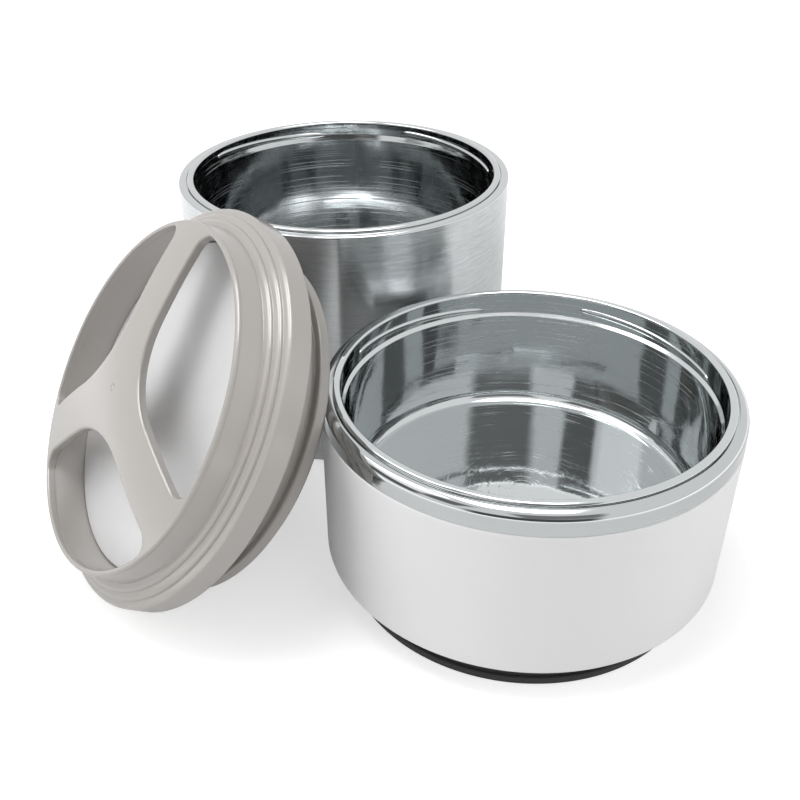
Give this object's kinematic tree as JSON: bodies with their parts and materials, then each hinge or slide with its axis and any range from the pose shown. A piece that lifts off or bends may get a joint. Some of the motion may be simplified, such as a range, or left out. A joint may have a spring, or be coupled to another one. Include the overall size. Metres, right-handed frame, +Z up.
{
  "type": "insulated lunch bowl set",
  "caption": "Insulated round lunch set: a steel pot, a steel-lined bowl in a white jacket on a black foot, and a shared ribbed lid with a domed spoked grip.",
  "frame": {"origin": "middle of the bowl's foot pad, on the table", "axes": "+Z up; +X to the viewer's right and +Y away from the viewer in the picture, with the pot behind the bowl and the lid on its left"},
  "size_m": [0.246, 0.2683, 0.1219],
  "materials": {
    "white_plastic": "satin moulded",
    "polished_steel": "polished, spun",
    "brushed_steel": "brushed round the wall",
    "black_plastic": "satin moulded",
    "black_rubber": "matte",
    "taupe_plastic": "moulded, half gloss",
    "satin_metal": "satin",
    "soft_ring": "matte",
    "foam": "matte foam"
  },
  "bodies": {
    "bowl": {"bowl_jacket": "white_plastic", "bowl_liner": "polished_steel", "bowl_rim_band": "polished_steel", "bowl_insulation": "foam", "bowl_base_cup": "black_plastic", "bowl_foot_pad": "black_rubber"},
    "pot": {"pot_outer_shell": "brushed_steel", "pot_liner": "polished_steel", "pot_rim_ring": "polished_steel", "pot_insulation": "foam", "pot_base_plate": "brushed_steel"},
    "lid": {"lid_cover": "taupe_plastic", "lid_disc": "satin_metal", "lid_plug": "taupe_plastic", "lid_insulation": "foam", "lid_gasket": "soft_ring"}
  },
  "joints": [
    {"name": "pot_lift", "type": "slide", "parent": "bowl", "child": "pot", "axis": [0, 0, 1], "range_m": [0, 0.13]},
    {"name": "lid_lift", "type": "slide", "parent": "bowl", "child": "lid", "axis": [0, 0, 1], "range_m": [0, 0.125]}
  ]
}
